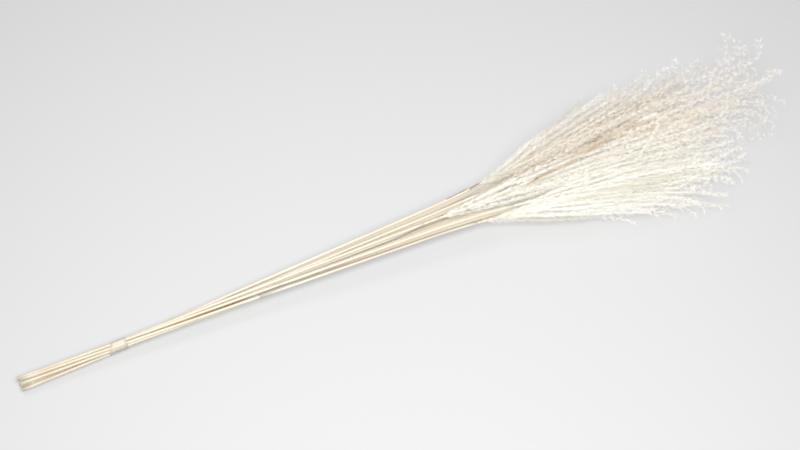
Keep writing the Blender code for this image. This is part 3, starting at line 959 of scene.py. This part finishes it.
def husk_mesh(spikes, random):
    """Six points a husk: its base, a square ring at two fifths of its length, and its tip. The length is
    husk * U(0.85, 1.15) * (1 - 0.35 * share^2). Towards a branch's end many are shed, but not their hairs."""
    kept = random.uniform(size=len(spikes[0])) < np.interp(spikes[3], *TIP_HUSKS)
    bases, directions, places, shares = (part[kept] for part in spikes)
    first, second = square_frame(directions, random)
    length = HUSK_LENGTH * random.uniform(*HUSK_LENGTHS, len(bases)) * (1 - HUSK_SHRINK * shares**2)
    length = length[:, None]
    middle = bases + directions * length * HUSK_WIDEST
    ring = [middle + side * HUSK_HALF_WIDTH for side in (first, second, -first, -second)]
    points = np.stack([bases, *ring, bases + directions * length], axis=1)
    return *alike_mesh(points, HUSK_FACES), as_map(places[:, None] + HUSK_U, HUSK_V)


def hair_mesh(spikes, random, chance):
    """Four points a hair: a small triangle at its root, and its tip. Hairs lean from the husk by 0.05 +
    U(0, 0.50) * (1 - 0.2 * share), at golden turns about it, and measure hair * U(0.75, 1.2) * (1 - 0.4 *
    share^2). Towards a branch's end they are fewer and finer."""
    bases, directions, places, shares = spikes
    size = (len(bases), HAIRS)
    first, second = square_frame(directions, random)
    psi = np.arange(HAIRS) * GOLDEN_TURN + random.uniform(0, 2 * np.pi, (len(bases), 1))
    cone = CONE[0] + random.uniform(0.0, CONE[1], size) * (1 - CONE_CLOSING * shares[:, None])
    way = turned_from(directions[:, None], turned_from(first[:, None], second[:, None], psi), cone)
    length = HAIR_LENGTH * random.uniform(*HAIR_LENGTHS, size) * (1 - HAIR_SHRINK * shares[:, None] ** 2)
    slide = random.uniform(0, HAIR_SLIDE, size)[..., None]
    root = bases[:, None] + way * HAIR_START - directions[:, None] * slide
    kept = random.uniform(size=size) < np.interp(shares, *chance)[:, None]
    kept &= root[..., 2] + way[..., 2] * length > TABLE_SKIN
    root, way, length = root[kept], way[kept], length[kept]
    places, shares = (np.broadcast_to(part[:, None], size)[kept] for part in (places, shares))
    side, other = square_frame(way, random)
    spokes = turned_from(side[:, None], other[:, None], 2 * np.pi * np.arange(3) / 3)
    foot = root[:, None] + spokes * (HAIR_RADIUS * (1 - HAIR_THINNING * shares**2))[:, None, None]
    points = np.concatenate([foot, (root + way * length[:, None])[:, None]], axis=1)
    return *alike_mesh(points, HAIR_FACES), as_map(places[:, None] + HAIR_U, HAIR_V)


def thread_mesh(lines, thickness):
    """The branches themselves: three-sided threads of radius thickness * (1 - 0.7 * share)."""
    share = np.linspace(0, 1, lines.shape[1])
    points, faces = tube_mesh(lines, thickness * (1 - RACEME_TAPER * share), RACEME_SIDES)
    return points, faces, as_map(strip_places(len(lines), share)[:, :, None], RACEME_V)


def rachis_mesh(stalk):
    """The stalk's own end: a tube whose radius goes evenly from the neck's to a fine tip."""
    start, tip, _, _ = PLUMES[stalk]
    along = np.linspace(start, start + (tip - start) * RACHIS_SHARE, RACHIS_RINGS)
    line = np.column_stack([along, stalk_places(along)[stalk]])
    radius = np.linspace(NECK_RADIUS, RACHIS_TIP, RACHIS_RINGS)
    points, faces = tube_mesh(line[None], radius, RACHIS_SIDES)
    u = np.linspace(0.02, 0.98, RACHIS_RINGS)[:, None]
    return points, faces, as_map(u, 0.01 + 0.008 * np.abs(np.arange(RACHIS_SIDES) - 4) / 4)


def branches(lines, random, thickness=RACEME_RADIUS, husks=ALL_HUSKS, hairs=TIP_HAIRS):
    """Threads along the lines, their husks and their hairs, as three meshes."""
    spikes = spikelets(lines, random, husks)
    return [thread_mesh(lines, thickness), husk_mesh(spikes, random), hair_mesh(spikes, random, hairs)]


# %% [markdown]
# ## The colours of the heads
# Bleaching leaves the husks and hairs nearly white and the thin branches straw-coloured, but not evenly:
# the plumes at the back of the bundle stay tan or rosy. One kind of material makes them all: it reads from
# the map what a point lies on, and noise sets husks and whole branches a little apart.

# %% The colours of the heads
def make_plume_finish(name, core, husk, hair, silk, low):
    """Colour by the map: the branch, 0.6 * core + 0.4 * husk, the husk, and the hair to its silky tip. It is
    multiplied by a fine noise that lets each husk differ, and by one that gives some branches the low
    shade."""
    made, tree, surface = new_material(name)
    colour = ramp(tree, map_part(tree, "Y"), (
        (0.02, core),
        (0.10, tuple(0.6 * c + 0.4 * h for c, h in zip(core, husk))),
        (0.14, husk),
        (0.42, hair),
        (0.50, hair),
        (0.97, silk),
    ))
    speckle = noise(tree, map_input(tree, (420.0, 3.0, 1.0)), 2.0)
    tint = ramp(tree, speckle, ((0.32, (0.97, 0.962, 0.945)), (0.62, WHITE)))
    colour = mix(tree, colour, tint, 0.5, "MULTIPLY")
    branch = noise(tree, map_input(tree, (47.0, 0.0, 1.0)), 0.0)
    shade = ramp(tree, branch, ((0.30, low), (0.52, WHITE)))
    colour = mix(tree, colour, shade, 1.0, "MULTIPLY")
    feed(tree, surface, {
        "Base Color": colour,
        "Roughness": remap(tree, speckle, 0.75, 0.5),
        "Sheen Weight": 0.25,
        "Sheen Roughness": 0.4,
    })
    shine_through(tree, colour, surface, 0.42)
    return made


# the colours of a branch, a husk, the root and the tip of a hair, and the shade of some branches
PLUME_COLOURS = {
    "ivory_plume": ((0.88, 0.83, 0.73), (0.975, 0.974, 0.955), (0.983, 0.984, 0.97), (0.99, 0.991, 0.983),
                    (0.86, 0.84, 0.79)),
    "tan_plume": ((0.78, 0.7, 0.55), (0.91, 0.887, 0.82), (0.93, 0.918, 0.882), (0.958, 0.952, 0.931),
                  (0.84, 0.805, 0.74)),
    "rosy_plume": ((0.72, 0.62, 0.46), (0.96, 0.936, 0.89), (0.977, 0.96, 0.932), (0.99, 0.98, 0.964),
                   (0.89, 0.855, 0.8)),
    # the golden branch: the tan of the rachis, darkened by painted shade of the deep gap between the heads
    "golden_branch_painted_shade": ((0.42, 0.31, 0.16), (0.66, 0.56, 0.39), (0.82, 0.75, 0.62), (0.93, 0.89, 0.82),
                      (0.9, 0.84, 0.76)),
}
IVORY, TAN, ROSY, GOLDEN_WITH_PAINTED_SHADE = (make_plume_finish(name, *row) for name, row in PLUME_COLOURS.items())
print("materials:", *PLUME_COLOURS)

# %% [markdown]
# ## The heads
# A head is the end of its stalk with its racemes, husks and hairs, joined into one piece that stands for the
# solid plume. Each draws from its own seed, so a change to one leaves the others alone.

# %% The heads
HEAD_SEED = 900
FINISH_OF = {0: TAN, 1: TAN, 2: TAN, 3: ROSY, 4: ROSY}

for stalk in range(STALKS):
    random = np.random.default_rng(HEAD_SEED + stalk)
    airy = stalk == AIRY_STALK
    lines = np.stack([raceme_line(stalk, number, airy, random) for number in range(RACEMES[stalk])])
    grown = branches(lines, random, hairs=AIRY_HAIRS if airy else TIP_HAIRS)
    head = join_meshes([rachis_mesh(stalk), *grown])
    finish = FINISH_OF.get(stalk, IVORY)
    name = f"head_{stalk + 1:02d}"
    add_piece(name, *head, finish, "plume", f"plume_{stalk + 1:02d}", smooth=False)

# %% [markdown]
# ## Loose branches on top
# Two things break up the even fan: a bare golden stretch of rachis along the upper heads, frayed into
# strands, and one pale branch that curls back over them. A smooth line through a few given places gives
# the course of each.

# %% The loose branches
GOLDEN_PLACES = (
    (0.518, -0.0078, 0.0480),
    (0.555, -0.0048, 0.0500),
    (0.595, 0.0024, 0.0515),
    (0.632, 0.0108, 0.0498),
    (0.662, 0.0130, 0.0500),
    (0.693, 0.0150, 0.0540),
)
# where each golden strand starts and ends among those places, and how far it lies to the left
STRANDS = (
    (0.0, 2.0, 0.0000),
    (0.25, 2.3, 0.0004),
    (0.10, 2.2, -0.0003),
    (1.4, 2.6, 0.0012),
    (1.7, 3.5, -0.0010),
)
LOOSE_PLACES = (
    (0.609, 0.006, 0.046),
    (0.635, 0.010, 0.048),
    (0.656, 0.013, 0.050),
    (0.665, 0.010, 0.052),
    (0.659, -0.003, 0.054),
    (0.646, -0.013, 0.055),
    (0.635, -0.021, 0.052),
    (0.627, -0.024, 0.046),
)
LOOSE_SEED = 41
STRAND_STEPS = 34
STRAND_WAVE = 0.0006
STRAND_WAVE_TURNS = (4.0, 5.3)
STRAND_RADIUS = 0.00043
STRAND_HUSKS = ((0.0, 1.0), (0.3, 0.8))
LOOSE_RADIUS = 0.00013
LOOSE_HUSKS = ((0.0, 0.3), (0.1, 0.9))


def through_places(places, time):
    """A smooth line through places a, b, c, d..., one a unit of time. Between b and c it is half of 2b +
    (c - a)t + (2a - 5b + 4c - d)t^2 + (3b - a - 3c + d)t^3."""
    places = np.array(places)
    padded = np.concatenate([2 * places[:1] - places[1:2], places, 2 * places[-1:] - places[-2:-1]])
    before = np.minimum(time.astype(int), len(places) - 2)
    t = (time - before)[:, None]
    a, b, c, d = (padded[before + step] for step in range(4))
    return 0.5 * (2 * b + (c - a) * t + (2 * a - 5 * b + 4 * c - d) * t**2 + (3 * b - a - 3 * c + d) * t**3)


def golden_strands(random):
    """Stretches of one line, moved aside and by wave * sin(turns * time)."""
    strands = []
    for first, last, side in STRANDS:
        time = np.linspace(first, last, STRAND_STEPS)
        wave = STRAND_WAVE * np.sin(np.outer(time, STRAND_WAVE_TURNS) + random.uniform(0, 2 * np.pi, 2))
        moved = np.column_stack([0 * time, side + wave[:, 0], wave[:, 1]])
        strands.append(through_places(GOLDEN_PLACES, time) + moved)
    return np.stack(strands)


random = np.random.default_rng(LOOSE_SEED)
grown = branches(golden_strands(random), random, STRAND_RADIUS, STRAND_HUSKS)
# its dark golden colour is partly the tan rachis and partly painted shade of the gap between the heads
add_piece("golden_branch_painted_shade", *join_meshes(grown), GOLDEN_WITH_PAINTED_SHADE, "plume", smooth=False)
loose = through_places(LOOSE_PLACES, np.linspace(0, len(LOOSE_PLACES) - 1, STRAND_STEPS))
grown = branches(loose[None], random, LOOSE_RADIUS, LOOSE_HUSKS)
add_piece("loose_branch", *join_meshes(grown), IVORY, "plume", smooth=False)

# %% [markdown]
# ## The tape
# A strip of clear tape is wound three times round the waist, a little askew, and so thin that the stems
# show through. One closed band would have no overlap to see, so the film is a spiral that ends a little
# past where it began.

# %% The tape
TAPE_TURNS = 3
FILM_COLUMNS = 64
FILM_OVERLAP = 8
FILM_ROWS = 6
FILM_THICKNESS = 0.00006
FILM_STEP = 0.00007
FILM_GAP = 0.00008
FILM_SLANT = 0.0025
FILM_UPWARDS = np.radians(23)
FILM_START = 0.9
WANDER = 0.0005
WANDER_STRETCH = 2.7


def make_tape():
    """A spiral film: the tight band, pushed out by gap + step * turns so far. Its edges wander by 0.5 mm *
    sin(turn / stretch + 1), and the one nearer the butts is askew by slant * cos(turn - upwards). The outer
    sheet lies one thickness outside the inner."""
    columns = FILM_COLUMNS * TAPE_TURNS + FILM_OVERLAP
    turn = 2 * np.pi * np.arange(columns) / FILM_COLUMNS + FILM_START
    wander = WANDER * np.sin(turn / WANDER_STRETCH + 1.0)
    askew = FILM_SLANT * np.cos(turn - FILM_UPWARDS)
    sheets = []
    for sheet in range(2):
        wall = FILM_GAP + FILM_STEP * turn / (2 * np.pi) + FILM_THICKNESS * sheet
        rows = []
        for place in np.linspace(-0.5, 0.5, FILM_ROWS):
            distance = TAPE_ALONG + place * TAPE_WIDTH
            ring = tape_ring(distance, turn, wall[:, None])
            rows.append(np.column_stack([distance + wander + askew * (0.5 - place), ring]))
        sheets.append(np.stack(rows))
    v = np.linspace(0.05, 0.45, FILM_ROWS)[:, None]
    return shell_mesh(np.stack(sheets), np.linspace(0.03, 0.97, columns), v)


def make_film():
    """Clear tape: a faint cloudiness in its colour and gloss, and a plain share of it see-through."""
    made, tree, surface = new_material("clear_film")
    cloud = noise(tree, map_input(tree, (40.0, 9.0, 1.0)), 3.0)
    feed(tree, surface, {
        "Base Color": ramp(tree, cloud, ((0.35, (0.84, 0.76, 0.62)), (0.65, (0.90, 0.84, 0.72)))),
        "Roughness": remap(tree, cloud, 0.24, 0.40),
        "Alpha": 0.24,
    })
    return made


add_piece("tape", *make_tape(), make_film(), "tape", "tie")
